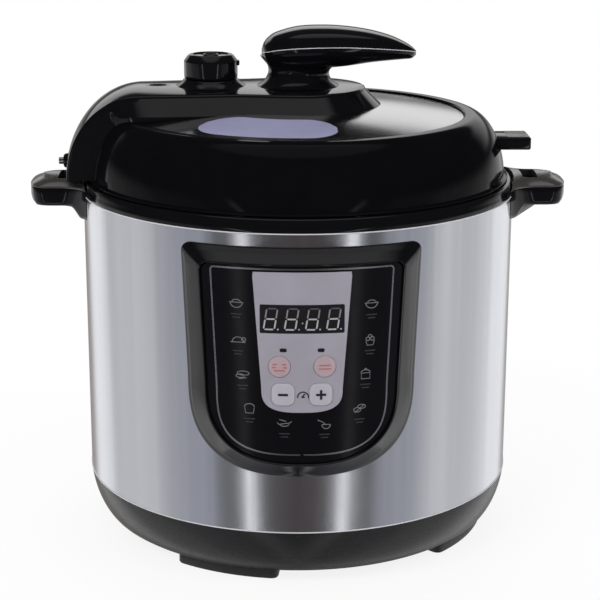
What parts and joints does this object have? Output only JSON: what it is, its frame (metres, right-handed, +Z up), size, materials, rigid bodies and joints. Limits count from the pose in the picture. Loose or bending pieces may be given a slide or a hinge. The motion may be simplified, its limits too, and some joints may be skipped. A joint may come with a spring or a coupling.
{
  "type": "electric pressure cooker",
  "caption": "Countertop electric pressure cooker with a steel body, black bayonet lid with lever grip and exhaust valve, two side handles and a shield-shaped control panel.",
  "frame": {"origin": "on the table, under the middle of the cooker's bounding box, which is the axis of the round body", "axes": "+Z up along the body's axis, -Y towards the control panel, +X towards the side that the lid grip points to"},
  "size_m": [0.356, 0.314, 0.3358],
  "materials": {
    "black_gloss": "polished black plastic",
    "black_satin": "satin black plastic",
    "foot_rubber": "matt black rubber",
    "shell_steel": "steel brushed around the body",
    "lid_steel": "bright pressed steel",
    "vessel_steel": "drawn steel",
    "turned_steel": "turned bright metal",
    "screw_steel": "zinc-plated steel",
    "cast_aluminium": "as cast, face turned",
    "board_green": "coated circuit board",
    "parts_dark": "moulded component cases",
    "ribbon_grey": "flat cable insulation",
    "cup_clear": "clear moulded plastic",
    "film_black": "printed black film",
    "trim_silver": "bright line",
    "plate_lavender": "printed lavender-grey film",
    "lens_smoke": "smoked lens",
    "led_grey": "unlit display segments",
    "button_white": "embossed pale keys",
    "silicone": "translucent silicone",
    "float_red": "red moulded plastic",
    "label_blank": "plain lavender label"
  },
  "bodies": {
    "base": {"base_tray": "black_satin", "rubber_feet": "foot_rubber", "base_screws": "screw_steel", "steel_shell": "shell_steel", "collar": "black_gloss", "handle_body_left": "black_gloss", "handle_cap_left": "black_satin", "handle_body_right": "black_gloss", "handle_cap_right": "black_satin", "handle_screws": "screw_steel", "pressure_vessel": "vessel_steel", "heater_plate": "cast_aluminium", "sensor_spring": "screw_steel", "power_board": "board_green", "power_parts": "parts_dark", "ribbon_cable": "ribbon_grey", "inlet_socket": "black_satin", "inlet_pins": "turned_steel", "cup_bracket": "black_satin", "panel_bezel": "black_gloss", "panel_face": "film_black", "panel_trim": "trim_silver", "centre_plate": "plate_lavender", "display_lens": "lens_smoke", "led_display": "led_grey", "indicator_lamps": "lens_smoke", "control_board": "board_green", "tact_switches": "parts_dark", "panel_screws": "screw_steel"},
    "pot": {"inner_pot": "vessel_steel"},
    "sensor": {"temperature_sensor": "cast_aluminium"},
    "cup": {"condensation_cup": "cup_clear"},
    "cancel": {"cancel_button": "button_white"},
    "timer": {"timer_button": "button_white"},
    "minus": {"minus_button": "button_white"},
    "plus": {"plus_button": "button_white"},
    "seal": {"seal_plate": "lid_steel", "sealing_gasket": "silicone", "centre_grommet": "silicone"},
    "lid": {"lid_plate": "lid_steel", "lid_ring": "black_gloss", "lid_bridge": "black_gloss", "lid_stud": "turned_steel", "lid_screws": "screw_steel", "blank_label": "label_blank", "grip_column": "black_gloss", "grip_lower": "black_gloss", "grip_upper": "black_gloss", "steam_pipe": "turned_steel", "pipe_nut": "turned_steel", "steam_guard": "vessel_steel"},
    "exhaust_valve": {"valve_knob": "black_gloss", "valve_weight": "turned_steel"},
    "float": {"float_pin": "float_red", "float_seal": "silicone"},
    "pin": {"push_pin": "turned_steel"}
  },
  "joints": [
    {"name": "lid_lift", "type": "slide", "parent": "base", "child": "seal", "axis": [0, 0, 1], "range_m": [0, 0.25]},
    {"name": "lid_turn", "type": "hinge", "parent": "seal", "child": "lid", "pos_m": [0, 0, 0.24], "axis": [0, 0, 1], "range_deg": [-30, 0]},
    {"name": "valve_turn", "type": "hinge", "parent": "lid", "child": "exhaust_valve", "pos_m": [-0.0575, 0, 0.302], "axis": [0, 0, 1], "range_deg": [0, 90]},
    {"name": "float_rise", "type": "slide", "parent": "lid", "child": "float", "axis": [0, 0, 1], "range_m": [0, 0.0045]},
    {"name": "pin_press", "type": "slide", "parent": "lid", "child": "pin", "axis": [1, 0, 0], "range_m": [0, 0.003], "stiffness_N_per_m": 300},
    {"name": "pot_turn", "type": "hinge", "parent": "base", "child": "pot", "pos_m": [0, 0, 0.072], "axis": [0, 0, 1], "continuous": true},
    {"name": "sensor_press", "type": "slide", "parent": "base", "child": "sensor", "axis": [0, 0, 1], "range_m": [-0.003, 0], "stiffness_N_per_m": 400, "springref_m": 0.001, "deforming": ["sensor_spring"]},
    {"name": "cup_slide", "type": "slide", "parent": "base", "child": "cup", "axis": [0, 1, 0], "range_m": [0, 0.04]},
    {"name": "cancel_press", "type": "slide", "parent": "base", "child": "cancel", "axis": [0, 1, 0], "range_m": [0, 0.0008], "stiffness_N_per_m": 900},
    {"name": "timer_press", "type": "slide", "parent": "base", "child": "timer", "axis": [0, 1, 0], "range_m": [0, 0.0008], "stiffness_N_per_m": 900},
    {"name": "minus_press", "type": "slide", "parent": "base", "child": "minus", "axis": [0, 1, 0], "range_m": [0, 0.0008], "stiffness_N_per_m": 900},
    {"name": "plus_press", "type": "slide", "parent": "base", "child": "plus", "axis": [0, 1, 0], "range_m": [0, 0.0008], "stiffness_N_per_m": 900}
  ]
}
